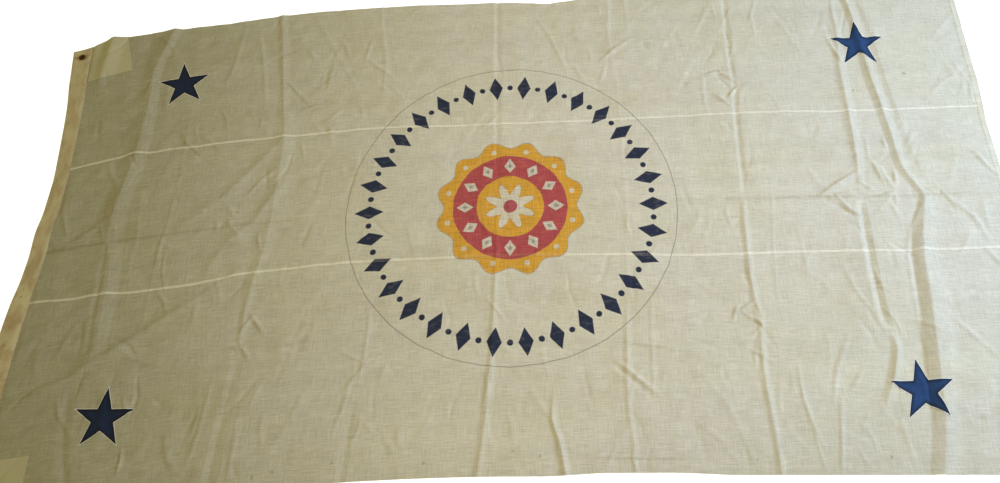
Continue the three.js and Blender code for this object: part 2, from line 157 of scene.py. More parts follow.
# Storage folds that run down the hoist: how curved each is to the left and to the right, as (t, curve),
# where 1 is a straight slope, then points (t, s, height of the crest, reach to the left, reach to the right)
# from the bottom edge up. A height below zero is a trough between two low shoulders.
FOLDS_DOWN = [
    ([(0, 1.4)], [(0, 1.4)],
     [(-762, -1320, 0, 24, 40), (540, -1320, 0, 24, 40), (618, -1316, 5, 20, 36),
      (690, -1308, 9, 22, 36), (762, -1300, 11, 24, 40)]),
    ([(0, 1.0), (60, 1.3)], [(0, 1.0)],
     [(-762, -1124, -3.2, 16, 16), (-680, -1150, -3.4, 16, 16), (-600, -1175, -3.4, 16, 16),
      (-520, -1186, -3, 14, 20), (-450, -1191, -2.6, 12, 24), (-390, -1168, 0, 30, 26),
      (-344, -1147, 5.5, 60, 30), (-250, -1147, 7, 80, 32), (-130, -1151, 8.5, 95, 34),
      (-50, -1160, 7.5, 80, 34), (20, -1184, 8, 50, 44), (100, -1177, 10.5, 56, 36),
      (184, -1166, 9, 42, 38), (270, -1152, 9, 55, 36), (360, -1146, 9, 70, 32), (440, -1145, 8, 60, 28),
      (500, -1145, 7, 50, 25), (600, -1152, 7, 46, 22), (657, -1140, 7, 46, 21),
      (700, -1125, 7.5, 46, 20), (762, -1108, 8, 46, 22)]),
    ([(0, 1.6)], [(0, 1.6)],
     [(-762, -1035, 0, 10, 10), (-350, -1035, 0, 10, 10), (-256, -1027, 0.8, 9, 10),
      (-130, -1025, 1.0, 9, 10), (30, -1010, 1.1, 9, 10), (184, -1001, 1.0, 9, 10),
      (420, -1002, 0.6, 9, 10), (762, -990, 0, 10, 10)]),
    ([(0, 1.4)], [(0, 1.5)],
     [(-762, -776, -3.6, 16, 26), (-680, -769, -3.6, 16, 26), (-600, -763, -3.4, 16, 28),
      (-520, -752, -3, 14, 24), (-450, -745, -2.6, 14, 20), (-400, -742, 0, 14, 16),
      (-344, -742, 3, 14, 16), (-280, -740, 4, 14, 20), (-220, -733, 4, 24, 20), (-150, -723, 4, 30, 20),
      (-80, -708, 4.5, 40, 30), (30, -700, 5.5, 50, 40), (250, -692, 6, 50, 40),
      (330, -697, 5.5, 40, 36), (426, -712, 4.6, 18, 24), (602, -733, 4.6, 19, 24),
      (762, -755, 4.6, 19, 24)]),
    ([(0, 2.0)], [(0, 2.0)],
     [(-762, -428, -2.2, 18, 12), (-619, -420, -2.2, 18, 12), (-520, -408, 0, 12, 12),
      (-465, -397, 2, 12, 12), (-344, -386, 2, 12, 12), (-250, -395, 0, 12, 12), (350, -396, 0, 12, 16),
      (450, -396, 1.5, 12, 16), (560, -397, 1.8, 12, 18), (650, -416, 1.8, 24, 18),
      (762, -424, 1.8, 24, 18)]),
    ([(0, 1.4)], [(0, 1.4)],
     [(-762, -84, 4.5, 15, 14), (-700, -74, 4.5, 15, 14), (-600, -62, 4.5, 16, 14),
      (-520, -56, 4.5, 16, 14), (-400, -48, 4, 13, 14), (-190, -40, 3, 10, 12), (-60, -37, 2, 10, 10),
      (30, -37, 0, 9, 10), (120, -38, -1.6, 9, 12), (250, -40, -2, 9, 13), (520, -41, -2.2, 9, 14),
      (762, -42, -2.4, 9, 14)]),
    ([(0, 1.4)], [(0, 1.4)],
     [(-762, 140, 6, 11, 14), (-674, 126, 6.5, 11, 14), (-619, 106, 5.5, 9, 13), (-540, 116, 0, 9, 9),
      (762, 112, 0, 9, 9)]),
    ([(0, 1.6)], [(0, 1.6)],
     [(-762, 314, 2, 11, 12), (-700, 316, 2.4, 11, 12), (-600, 306, 2.6, 12, 14),
      (-520, 306, 3.5, 13, 16), (-450, 311, 4.5, 14, 16), (-410, 312, 4, 14, 16),
      (-300, 318, 0.6, 14, 14), (30, 334, 1, 14, 14), (400, 330, 0.8, 14, 14), (600, 310, 1.6, 14, 12),
      (700, 317, 2.4, 28, 13), (762, 320, 2.4, 28, 13)]),
    ([(0, 1.3)], [(0, 1.3)],
     [(-762, 673, 5, 13, 13), (-663, 670, 5, 13, 13), (-520, 662, 5, 13, 13), (-420, 663, 5.5, 13, 13),
      (-375, 673, 5, 13, 13), (-310, 663, 5, 13, 13), (-223, 659, 5, 13, 13), (-30, 663, 4.5, 12, 13),
      (10, 670, 0, 9, 10), (50, 674, -3, 9, 11), (140, 675, -3.4, 9, 11), (300, 679, -3.4, 9, 11),
      (400, 687, -3.2, 9, 11), (500, 683, -3.2, 8, 12), (762, 688, -3.2, 8, 12)]),
    ([(0, 1.6)], [(0, 1.6)],
     [(-762, 782, 1.2, 8, 9), (-690, 772, 1.4, 8, 9), (-560, 752, 0.9, 8, 9), (-420, 735, 0, 8, 8),
      (-272, 724, 1, 7, 8), (-110, 735, 1, 7, 8), (10, 750, 1.1, 7, 8), (96, 747, 1.1, 6, 8),
      (283, 743, 1, 6, 8), (430, 742, 0.5, 6, 8), (762, 736, 0, 8, 8)]),
    ([(-300, 1.4), (60, 2.0)], [(0, 1.4)],
     [(-762, 935, 0, 14, 14), (-600, 950, 0, 16, 16), (-558, 968, 5.5, 18, 18), (-520, 987, 9, 20, 20),
      (-480, 1000, 9, 18, 20), (-430, 1014, 8, 16, 18), (-395, 1004, 0, 14, 14), (-350, 991, -6, 14, 15),
      (-300, 988, -7, 14, 15), (-157, 988, -7, 14, 15), (-40, 990, -5.5, 13, 15), (20, 998, 0, 12, 14),
      (96, 1004, 6, 20, 22), (240, 1009, 7, 24, 24), (420, 1009, 7, 24, 24), (480, 1012, 5.5, 20, 20),
      (600, 1024, 4, 16, 16), (762, 1020, 2.5, 14, 14)]),
    ([(-60, 0.75), (40, 1.3)], [(0, 1.25)],
     [(-762, 1058, 10, 28, 36), (-680, 1081, 11, 28, 40), (-613, 1095, 13, 28, 42),
      (-470, 1106, 15.5, 31, 52), (-400, 1113, 16.5, 32, 55), (-300, 1121, 16.5, 29, 55),
      (-200, 1127, 16, 28, 55), (-135, 1136, 15, 28, 50), (-100, 1142, 14, 27, 50),
      (-60, 1153, 11, 22, 40), (10, 1175, 6, 14, 20), (60, 1145, 6, 16, 22), (96, 1126, 6.5, 17, 23),
      (150, 1121, 7.5, 18, 23), (206, 1118, 8, 18, 24), (327, 1106, 10, 20, 25),
      (400, 1097, 9.5, 20, 25), (520, 1088, 8, 17, 24), (668, 1077, 8, 16, 24), (762, 1062, 7.5, 16, 24)]),
    ([(0, 1.2)], [(0, 1.2)],
     [(-762, 1150, 0, 18, 50), (-300, 1200, 0, 18, 50), (-60, 1215, 0, 18, 50), (10, 1213, 0, 18, 50),
      (96, 1182, 2, 18, 60), (150, 1169, 3.2, 18, 60), (250, 1158, 3.6, 18, 60),
      (400, 1142, 3.8, 16, 60), (520, 1135, 2.8, 16, 50), (650, 1123, 3.2, 15, 40),
      (762, 1104, 2, 15, 40)]),
]
folds_down = [tuple(Line(points) for points in fold) for fold in FOLDS_DOWN]

# Storage folds that run along the fly, as (s, t, height of the crest), from the hoist outwards
ACROSS_REACH = 10
ACROSS_FOOT = 1.5
fold_low = Line([(-1408, -400, 0), (-1065, -365, 1.5), (-911, -405, 1.5), (-740, -377, 3),
                 (-515, -380, 1), (-300, -385, 0), (300, -415, 0), (400, -425, 1.4), (600, -400, 1),
                 (675, -380, 1), (890, -388, 0.6), (1000, -386, 1.8), (1050, -388, 0.5), (1150, -390, 0),
                 (1408, -390, 0)])
fold_mid = Line([(-1408, 2, 0), (-1360, 1, 2.5), (-1250, 0, 3.5), (-1190, -1, 3), (-1000, -3, 1.8),
                 (-700, -3, 1.5), (-450, 2, 0), (450, 10, 0), (600, 11, 1.2), (750, 9, 1.6),
                 (890, 11, 2.2), (1000, 8, 2), (1165, 7, 1.5), (1230, 10, 2), (1290, 11, 1.6),
                 (1408, 12, 0.8)])
fold_high = Line([(-1408, 400, 0), (-600, 404, 0.6), (-400, 404, 0.8), (-250, 405, 0), (300, 410, 0),
                  (450, 412, 0.8), (690, 404, 1.6), (890, 395, 1), (1010, 398, 1.2), (1100, 400, 0),
                  (1408, 400, 0)])

# Smaller creases: half width, height (below zero for a trough), and the places (s, t) that each runs through
CREASES = [
    # between the two folds nearest the fly
    (10, 8.0, (884, 12), (942, 52), (998, 86)),
    (8, -4.5, (918, 17), (964, 40), (1003, 70)),
    (10, 6.5, (930, 12), (958, -32), (986, -54)),
    (10, -4.0, (892, 8), (938, -30), (968, -58)),
    (9, 5.5, (1047, 126), (1060, 82), (1073, 46)),
    (9, 6.5, (1064, 104), (1078, 66), (1093, 34)),
    (8, 6.0, (1104, 86), (1101, 44)),
    (8, 2.2, (1044, 205), (1041, 149), (1038, 121)),
    (7, 4.0, (1090, 194), (1097, 168)),
    (8, 5.0, (1005, 52), (1035, 28)),
    (9, 5.5, (1054, 6), (1090, 20)),
    (9, 4.5, (1072, -4), (1084, -36), (1090, -64)),
    (8, 4.0, (1092, 18), (1093, -18)),
    (9, 2.4, (1170, -4), (1112, -100), (1090, -170), (1082, -300), (1078, -420)),
    # knot where the upper storage fold crosses
    (7, 3.2, (593, 459), (590, 380), (593, 300)),
    (8, 6.5, (606, 440), (640, 450), (668, 446)),
    (8, 6.5, (646, 446), (694, 412)),
    (8, -4.0, (640, 430), (668, 392)),
    (8, 6.5, (665, 355), (690, 390)),
    (8, 6.5, (622, 366), (666, 326)),
    # knot where the lower storage fold crosses
    (8, 5.0, (598, -355), (615, -316)),
    (8, 5.5, (612, -334), (656, -308)),
    (8, 5.5, (628, -336), (674, -368)),
    (8, -3.0, (659, -311), (675, -366)),
    (8, 4.0, (612, -421), (662, -412)),
    (8, 4.0, (640, -400), (672, -378)),
    # fly half, lower strip
    (10, 1.8, (500, -498), (560, -586), (615, -740)),
    (8, 4.5, (826, -575), (850, -490), (895, -400)),
    (8, 3.8, (873, -553), (912, -500)),
    (8, 4.0, (846, -570), (833, -663), (818, -758)),
    (9, 2.0, (752, -470), (752, -575), (768, -640), (788, -700)),
    (9, 2.8, (912, -203), (930, -270), (961, -333)),
    (8, 2.2, (807, -85), (818, -256)),
    (9, 3.0, (895, -412), (996, -380)),
    (10, 2.6, (1154, -333), (1264, -465)),
    (14, 2.6, (984, -618), (1000, -741)),
    # fly half, middle and upper strips
    (9, 4.5, (1318, 160), (1342, 148), (1362, 112), (1392, 70)),
    (10, 5.5, (1238, 0), (1292, -58), (1318, -130)),
    (9, 4.5, (1302, -158), (1336, -212)),
    (9, 2.6, (1330, -10), (1326, -60), (1332, -110)),
    (14, 2.0, (1290, 140), (1268, 90), (1248, 40)),
    (8, 3.0, (1170, 50), (1205, 14)),
    (12, -2.4, (1284, 630), (1262, 560), (1226, 452)),
    (9, 2.2, (1395, 655), (1330, 580), (1284, 512)),
    (9, 2.0, (1392, 585), (1330, 545), (1282, 512)),
    (9, 2.0, (1400, 412), (1350, 420), (1306, 392), (1225, 312)),
    (9, 2.4, (1385, 385), (1378, 320)),
    (8, 2.0, (1365, 385), (1360, 350)),
    (6, -1.6, (1348, 530), (1343, 490)),
    (8, 2.5, (1118, 425), (1140, 433), (1170, 432)),
    (9, 4.5, (988, 572), (1006, 512), (1027, 455)),
    (8, 3.0, (964, 428), (1014, 395)),
    (9, 2.4, (768, 677), (771, 578)),
    (9, 2.4, (790, 735), (755, 628)),
    (9, 2.8, (823, 700), (863, 607), (901, 516)),
    (10, 1.8, (570, 580), (610, 650), (648, 733)),
    # hoist half: knot where the lower storage fold crosses
    (9, 4.5, (-720, -288), (-678, -344)),
    (9, 4.0, (-742, -332), (-716, -294)),
    (9, 4.0, (-753, -378), (-729, -385), (-710, -415)),
    # hoist half
    (10, 2.0, (-1065, -355), (-988, -394), (-911, -410)),
    (10, 2.4, (-800, -462), (-817, -605), (-839, -693)),
    (10, 2.4, (-916, -583), (-883, -660), (-839, -715)),
    (11, 2.0, (-531, -495), (-630, -693)),
    (11, 2.2, (-872, 745), (-889, 580), (-911, 503)),
    (10, 2.4, (-822, 704), (-790, 558), (-767, 407)),
    (11, 2.4, (-641, 742), (-560, 590), (-487, 451)),
    (10, 3.0, (-1345, 140), (-1307, 52)),
    (9, 2.0, (-1108, 154), (-1092, 0), (-1103, -110)),
    (45, 6.0, (-1400, -490), (-1191, -394), (-1037, -310), (-850, -199), (-784, -154)),
    (35, 4.8, (-955, 30), (-850, 103), (-697, 278)),
    (28, 3.8, (-751, 8), (-688, 108)),
    (35, 4.8, (-872, -148), (-830, -64), (-742, 13)),
    (30, 3.6, (-1390, -330), (-1290, -260), (-1180, -190)),
    (18, 2.5, (-1310, 8), (-1255, 38), (-1190, 83)),
    (30, 1.8, (-1372, 100), (-1310, 190), (-1235, 278)),
    (14, -1.4, (-1095, 60), (-1068, 200), (-1015, 370)),
    (12, -3.0, (-1180, -10), (-1174, -100), (-1172, -220), (-1165, -335)),
    (12, 2.5, (-716, -560), (-718, -650), (-722, -755)),
    (26, 3.4, (-1088, -440), (-1085, -530), (-1080, -620)),
    # middle
    (10, -2.6, (270, -472), (320, -518), (372, -566)),
    (9, 4.0, (286, -468), (332, -508), (390, -560)),
    (8, 2.6, (384, -300), (378, -420), (374, -560)),
    (9, 5.0, (286, 506), (330, 548), (388, 592)),
    (9, 3.6, (-464, 562), (-412, 512), (-359, 468)),
    (8, 2.0, (-98, 550), (-46, 514)),
    (10, 2.4, (80, 701), (125, 612), (155, 530), (180, 470)),
    (10, 2.2, (195, 500), (230, 432)),
    (10, 2.4, (-375, -440), (-436, -520), (-480, -560)),
    (9, 2.4, (312, -412), (510, -443)),
    (9, 1.6, (-425, -625), (-240, -625), (-70, -630)),
    (10, -1.8, (500, 60), (508, -10)),
]

# Faint creases left all over by years of folding
FAINT_CREASES = 420
FAINT_SEED = 5
FAINT_LENGTH = (35, 130)
FAINT_WIDTH = (6, 11)
FAINT_HEIGHT = (0.9, 2.6)
FAINT_HOIST_GAIN = 1.4
FAINT_FROM_HEADING = 40
FAINT_FROM_EDGE = 30
FAINT_SLANT = 0.7
FAINT_BOW = 0.2
HOIST_THIRD = -450

# Soft waves of the cloth: how many, shortest, longest, height of each
SWELL_SEED = 11
SWELLS = [(10, 190, 420, 0.34), (16, 60, 120, 0.16)]

# Soft lines of painted shadow and painted shade: half width, share of darkening, and the places (s, t) that
# each runs through
SHADOW_AND_STAIN_LINES = [
    (16, 0.6, (-1400, -482), (-1191, -385), (-1037, -300), (-850, -190), (-784, -145)),
    (14, 0.25, (-852, 107), (-702, 283)),
    (14, 0.25, (-757, 12), (-694, 112)),
    (14, 0.6, (-1310, 10), (-1255, 42), (-1190, 85)),
    (12, 0.9, (-1362, 110), (-1358, 40), (-1335, -2), (-1290, -2)),
    (16, 0.35, (-1095, 60), (-1070, 200), (-1018, 370)),
    (14, 0.35, (670, -378), (800, -382), (940, -388)),
    (20, 0.9, (-1345, 600), (-1335, 690), (-1325, 760)),
    # not shade: a line of stains along the bottom hem
    (5, 0.9, (185, -722), (330, -724), (480, -726)),
]

# Small stains: place (s, t) and radius
SPOTS = [(-609, -722, 5), (-456, -712, 5), (-221, -724, 5), (-659, -733, 6), (-806, 44, 4), (1193, 96, 4),
         (1038, 370, 5), (7, -699, 4), (76, -712, 4), (616, -724, 4), (945, -718, 5), (1198, 426, 8)]

# Painted device, from the outside in
PENCIL_RING_R = 479
PENCIL_HALF = 1.2
LOZENGES = 30
LOZENGE_RING_R = 412
ROSETTE_R = 205
ROSETTE_DOTS_R = 186
SCALLOPS = 12
RED_RING_R = 132
RED_HALF = 34
PETALS = 8
FLOWER_R = 56
EYE_R = 20
PAINT_WOBBLE = 6
PAINT_WEAVE = 0.85

# Sewing: how far apart stitches are, how far in from an edge rows run, and how far up they stand
STITCH = 4.2
SEAM_STITCH_IN = 1.3
HEM_STITCH_IN = 2
EDGE_STITCH_IN = 4
HEADING_STITCH_IN = (EDGE_STITCH_IN, HEADING_WIDTH - 9, HEADING_WIDTH - 3)
PATCH_STITCH_IN = (14, 5)
CLOTH_STITCH_UP = 0.1
STITCH_UP = 0.15
STAR_STITCH_SCALE = 0.90
STAR_EDGING_SCALE = 1.04
STAR_EDGING_STEP = 2
STAR_EDGING_UP = 0.4
STAR_EDGING_HALF = 1.3

# The photograph's view: place in metres, turn in degrees and lens
CAMERA_PLACE = (0.0908, -1.0770, 2.1043)
CAMERA_TURN = (24.6359, 3.1158, 0.3005)
CAMERA_LENS = 29.31
SENSOR = 36

# Linear colours
CREAM = (0.76, 0.745, 0.665)
CREAM_SEAM = (0.96, 0.94, 0.86)
CREAM_HEM = (0.82, 0.80, 0.70)
# Tint at the hoist: part soil, part painted shade
HOIST_SOIL_AND_SHADE = (0.62, 0.60, 0.515)
STAIN_BROWN = (0.80, 0.70, 0.50)
# darkening for ground-in grime and painted shade
DIRT_AND_SHADE_TINT = (0.70, 0.66, 0.56)
# patch darkening for grime and painted shade
PATCH_DIRT_AND_SHADE = (0.85, 0.83, 0.78)
STAR_EDGE = (0.45, 0.30, 0.20)
YELLOWED = (1.0, 1.0, 0.96)
SPOT_BROWN = (0.30, 0.24, 0.16)
PATCH_CREAM = (0.64, 0.60, 0.43)
CANVAS_TAN = (0.70, 0.615, 0.41)
CANVAS_PALE = (0.76, 0.68, 0.50)
CANVAS_SOIL = (0.78, 0.68, 0.60)
RUST = (0.36, 0.15, 0.05)
# One navy for the stars, with painted shade by the hoist and painted light by the fly
NAVY_SHADED_BY_HOIST = (0.010, 0.0225, 0.075)
NAVY_LIT_BY_FLY = (0.018, 0.065, 0.215)
PAINT_NAVY = (0.015, 0.025, 0.070)
PAINT_GOLD = (0.79, 0.418, 0.031)
PAINT_RED = (0.49, 0.075, 0.11)
PENCIL = (0.13, 0.12, 0.12)
THREAD = (0.70, 0.67, 0.55)
THREAD_NAVY = (0.03, 0.05, 0.14)
THREAD_PALE = (0.95, 0.95, 0.97)
BRASS = (0.26, 0.12, 0.045)
BRASS_DARK = (0.07, 0.030, 0.014)
FLOOR_GREY = (0.8, 0.8, 0.8)
FLOOR_GLOW = 0.9
ROOM_LIGHT = (0.26, 0.24, 0.071)
HOLE_SHADE = (0.07, 0.045, 0.03)


def fade(distance, reach, power=2.0):
    return np.clip(1 - distance / reach, 0, 1) ** power


def bend(s):
    return BEND_RATE * np.maximum(0, BEND_START - s) ** 2


def plan(s, t):
    """Where the cloth place (s, t) lies on the floor."""
    hoist = hoist_edge(t) * fade(s + HALF_FLY, HOIST_REACH)
    fly = fly_edge(t) * fade(HALF_FLY - s, EDGE_REACH)
    top = top_edge(s) * fade(HALF_HOIST - t, EDGE_REACH)
    bottom = bottom_edge(s) * fade(t + HALF_HOIST, EDGE_REACH)
    return s + hoist + fly, t + top + bottom - bend(s)


def rounded(distance):
    """Distance from a crest that is rounded over instead of sharp."""
    roundness = 1.6
    return np.hypot(distance, roundness) - roundness


def fold_rise(s, t):
    """Height of the storage folds."""
    squares = np.zeros(np.broadcast(s, t).shape)
    shoulder = 9
    for left_curve, right_curve, line in folds_down:
        off = s - line(t)
        height = line(t, 1)
        reach = np.where(off < 0, line(t, 2), line(t, 3))
        share = rounded(off) / reach
        curve = np.where(off < 0, left_curve(t), right_curve(t))
        ridge = np.maximum(height, 0) * fade(share, 1, curve)
        trough = np.maximum(-height, 0) * np.minimum(share, 1) * fade(np.maximum(share - 1, 0), shoulder, 1)
        squares += ridge ** 2 + trough ** 2
    for line in (fold_low, fold_mid, fold_high):
        squares += (line(s, 1) * fade(rounded(t - line(s)), ACROSS_REACH, ACROSS_FOOT)) ** 2
    return np.sqrt(squares)


def faint_creases():
    """Short, low creases at chance places, most of them nearer to the hoist's direction than to the fly's."""
    chance = np.random.default_rng(FAINT_SEED)
    creases = []
    for _ in range(FAINT_CREASES):
        middle = chance.uniform((HEADING_INNER + FAINT_FROM_HEADING, FAINT_FROM_EDGE - HALF_HOIST),
                                (HALF_FLY - FAINT_FROM_EDGE, HALF_HOIST - FAINT_FROM_EDGE))
        angle = np.pi / 2 + chance.normal(0, FAINT_SLANT)
        half = chance.uniform(*FAINT_LENGTH) / 2 * np.array([math.cos(angle), math.sin(angle)])
        bow = chance.uniform(-FAINT_BOW, FAINT_BOW) * np.array([-half[1], half[0]])
        height = chance.uniform(*FAINT_HEIGHT) * chance.choice([-1, 1])
        if middle[0] < HOIST_THIRD:
            height *= FAINT_HOIST_GAIN
        creases.append((chance.uniform(*FAINT_WIDTH), height, middle - half, middle + bow, middle + half))
    return creases


ALL_CREASES = CREASES + faint_creases()


def crease_profile(s, t, path, width):
    """Share of a crease's height: a soft ridge along a path, which dies out at the path's ends."""
    lengths = np.hypot(*np.diff(path, axis=0).T)
    nearest = np.full(s.shape, np.inf)
    along = np.zeros(s.shape)
    done = 0.0
    for start, end, length in zip(path[:-1], path[1:], lengths):
        way = (end - start) / length
        share = np.clip((s - start[0]) * way[0] + (t - start[1]) * way[1], 0, length)
        distance = np.hypot(s - start[0] - share * way[0], t - start[1] - share * way[1])
        closer = distance < nearest
        nearest = np.where(closer, distance, nearest)
        along = np.where(closer, done + share, along)
        done += length
    taper = np.sin(np.pi * np.clip(along / done, 0.06, 0.94)) ** 0.5
    return taper * fade(rounded(nearest), width, 1.7)


def crease_rise(s, t):
    """Height of the smaller creases."""
    s, t = np.broadcast_arrays(s, t)
    rise = np.zeros(s.shape)
    for width, height, *places in ALL_CREASES:
        path = np.array(places, float)
        low, high = path.min(0) - width, path.max(0) + width
        near = (s > low[0]) & (s < high[0]) & (t > low[1]) & (t < high[1])
        if near.any():
            rise[near] += height * crease_profile(s[near], t[near], path, width)
    return rise


def swell(s, t):
    """Gentle unevenness of cloth that has been folded for years: long soft waves of a few sizes."""
    waves = np.random.default_rng(SWELL_SEED)
    rise = np.zeros(np.broadcast(s, t).shape)
    for count, shortest, longest, height in SWELLS:
        for _ in range(count):
            length = waves.uniform(shortest, longest)
            angle = waves.uniform(0, np.pi)
            phase = waves.uniform(0, 2 * np.pi)
            across = s * math.cos(angle) + t * math.sin(angle)
            rise += height * np.sin(2 * np.pi * across / length + phase)
    return rise


def cloth_rise(s, t):
    """Height of the cloth's underside above the floor."""
    mean_rise = 1.6
    free = fold_rise(s, t) + crease_rise(s, t) + swell(s, t) + mean_rise
    free = np.maximum(free, LEAST_RISE)
    into_heading = np.clip((HEADING_INNER + RAMP - s) / (RAMP - RAMP_FLAT), 0, 1)
    return free * (1 - into_heading) + (CANVAS + GAP) * into_heading


# The cloth's grid. Columns are functions of t that follow the folds down the hoist.
PLAIN_FINISH, SEAM_FINISH, HEM_FINISH = range(3)


def fixed(value):
    return lambda place: np.full(np.shape(place), float(value))


def beside(line, offset):
    return lambda place: line(place) + offset


def between(first, last, share):
    return lambda place: first(place) * (1 - share) + last(place) * share


def filled(rails, spacings):
    """The rails with lines in between, closer together near each rail."""
    crowding = 0.42
    lines = [rails[0]]
    for first, last, spacing in zip(rails[:-1], rails[1:], spacings):
        count = max(1, round(float(last(0.0) - first(0.0)) / spacing))
        for i in range(1, count):
            even = i / count
            lines.append(between(first, last, even - crowding * math.sin(2 * math.pi * even) / (2 * math.pi)))
        lines.append(last)
    return lines


def make_columns():
    spacing = 4.3
    corner_fold, *other_folds = [line for *_, line in folds_down]
    rails = [fixed(HEADING_INNER - TUCK), fixed(HEADING_INNER), fixed(HEADING_INNER + RAMP), corner_fold,
             *other_folds, fixed(HALF_FLY - FLY_HEM - 1), fixed(HALF_FLY - FLY_HEM), fixed(HALF_FLY)]
    return filled(rails, [spacing] * (len(rails) - 1))


def seam_rows(seam):
    """Rows over a felled seam, each as a line, the extra cloth there, and which finish it has."""
    profile = [(GAP / 2, 0.5), (1.2, 1.0), (SEAM_WIDTH - 1.2, 1.0), (SEAM_WIDTH, 0.5)]
    return [(beside(seam, offset), share * SEAM_EXTRA, SEAM_FINISH) for offset, share in profile]


def plain_rows(rails, spacings):
    return [(line, 0, PLAIN_FINISH) for line in filled(rails, spacings)]


def hem_rows(edge, width, inward):
    """Rows of a hem, from the edge of the cloth inwards."""
    return [(fixed(edge + inward * share * width), HEM_EXTRA, PLAIN_FINISH) for share in (0, 0.35, 0.7, 1)]


BOTTOM_INNER = -HALF_HOIST + BOTTOM_HEM + 1
TOP_INNER = HALF_HOIST - TOP_HEM - 1
STRIP_ROWS = {
    "panel_lower": hem_rows(-HALF_HOIST, BOTTOM_HEM, 1) + plain_rows(
        [fixed(BOTTOM_INNER), beside(fold_low, -60), fold_low, beside(fold_low, 70),
         beside(lower_seam, -GAP / 2)], [4.8, 3.3, 3.3, 4.4]),
    "panel_middle": seam_rows(lower_seam) + plain_rows(
        [beside(lower_seam, SEAM_WIDTH + 1), beside(fold_mid, -70), fold_mid, beside(fold_mid, 100),
         beside(upper_seam, -GAP / 2)], [3.6, 3.0, 3.0, 3.6]),
    "panel_upper": seam_rows(upper_seam) + plain_rows(
        [beside(upper_seam, SEAM_WIDTH + 1), fold_high, beside(fold_high, 60), fixed(TOP_INNER)],
        [3.4, 3.4, 4.0]) + hem_rows(HALF_HOIST, TOP_HEM, -1)[::-1],
}
COLUMNS = make_columns()


class Grid:
    """Cloth places of one strip, with the height of its two faces.

    Rows and columns bend with each other, so where they cross is found in a few passes.
    """

    passes = 4

    def __init__(self, rows):
        lines, extras, finishes = zip(*rows)
        shape = (len(rows), len(COLUMNS))
        self.s = np.zeros(shape)
        self.t = np.zeros(shape)
        for _ in range(self.passes):
            for r, line in enumerate(lines):
                self.t[r] = line(self.s[r])
            for c, column in enumerate(COLUMNS):
                self.s[:, c] = column(self.t[:, c])
        in_fly_hem = self.s > HALF_FLY - FLY_HEM - 0.5
        self.finish = np.where(in_fly_hem, HEM_FINISH, np.array(finishes)[:, None])
        extra = np.array(extras)[:, None] * np.ones(shape)
        extra = np.where(in_fly_hem, np.maximum(extra, HEM_EXTRA), extra)
        extra = np.where(self.s < HEADING_INNER + RAMP - 1, 0, extra)
        self.low = cloth_rise(self.s, self.t)
        self.high = self.low + CLOTH + extra


def in_scene(name, data):
    """A new object of the scene."""
    thing = bpy.data.objects.new(name, data)
    bpy.context.scene.collection.objects.link(thing)
    return thing


def add_mesh(name, vertices, faces, places, materials, slots=None, wear_and_shade=None):
    """A mesh object from points in millimetres, with the cloth places as its map."""
    mesh = bpy.data.meshes.new(name)
    mesh.from_pydata((np.asarray(vertices) * MM).tolist(), [], faces)
    for material in materials:
        mesh.materials.append(material)
    if slots is not None:
        mesh.polygons.foreach_set("material_index", np.asarray(slots, np.int32))
    corners = np.zeros(len(mesh.loops), np.int32)
    mesh.loops.foreach_get("vertex_index", corners)
    uv = mesh.uv_layers.new(name=CLOTH_MAP)
    uv.data.foreach_set("uv", (np.asarray(places) * MM)[corners].astype(np.float32).ravel())
    if wear_and_shade is not None:
        attribute = mesh.attributes.new(WEAR_AND_SHADE, "FLOAT", "POINT")
        attribute.data.foreach_set("value", np.asarray(wear_and_shade, np.float32))
    mesh.polygons.foreach_set("use_smooth", np.ones(len(mesh.polygons), bool))
    mesh.set_sharp_from_angle(angle=math.radians(SHARP_ANGLE))
    mesh.update()
    return in_scene(name, mesh)


def points(*columns):
    """Points, one in each row, from arrays of their coordinates."""
    return np.stack(columns, -1).reshape(-1, len(columns))


def bands(index):
    """Faces between rows of points, where each row closes on itself."""
    onward = np.roll(index, -1, axis=1)
    return np.stack([index[:-1], index[1:], onward[1:], onward[:-1]], -1).reshape(-1, 4)


def every_fourth(count):
    return sorted({*range(0, count, 4), count - 1})


def quads(index):
    return np.stack([index[:-1, :-1], index[:-1, 1:], index[1:, 1:], index[1:, :-1]], -1).reshape(-1, 4)


def rim(upper, lower, stops):
    """Faces of one side of a sheet, from the points of its coarse lower face to those of its upper face."""
    faces = []
    for k, (start, end) in enumerate(zip(stops[:-1], stops[1:])):
        faces.append([lower[k], lower[k + 1], *upper[end:start:-1], upper[start]])
    return faces


def sheet_from(name, grid, materials):
    """A closed sheet over a grid. Its lower face, which lies out of sight, has every fourth point only.

    Faces take the material of their corners' finish.
    """
    tall, wide = grid.s.shape
    rows, columns = every_fourth(tall), every_fourth(wide)
    upper = np.arange(tall * wide).reshape(tall, wide)
    lower = tall * wide + np.arange(len(rows) * len(columns)).reshape(len(rows), len(columns))
    coarse = np.ix_(rows, columns)
    high = quads(upper)
    faces = [*high.tolist(), *quads(lower)[:, ::-1].tolist()]
    for turn in range(4):
        side, kept = np.rot90(upper, turn)[0], np.rot90(upper[coarse], turn)[0]
        faces += rim(side, np.rot90(lower, turn)[0], np.flatnonzero(np.isin(side, kept)))
    x, y = plan(grid.s, grid.t)
    beneath = minimum_around(grid.low)[coarse]
    vertices = np.concatenate([points(x, y, grid.high), points(x[coarse], y[coarse], beneath)])
    places = np.concatenate([points(grid.s, grid.t), points(grid.s[coarse], grid.t[coarse])])
    slots = np.zeros(len(faces), int)
    finish = grid.finish.ravel()[high]
    slots[:len(high)] = np.where(np.ptp(finish, axis=1) == 0, finish[:, 0], PLAIN_FINISH)
    return add_mesh(name, vertices, faces, places, materials, slots, dirt_and_painted_shade(*places.T))


def minimum_around(height):
    """The lowest of each grid point and its neighbours, three to each side."""
    padded = np.pad(height, 3, mode="edge")
    tall, wide = height.shape
    return np.min([padded[i:i + tall, j:j + wide] for i in range(7) for j in range(7)], axis=0)


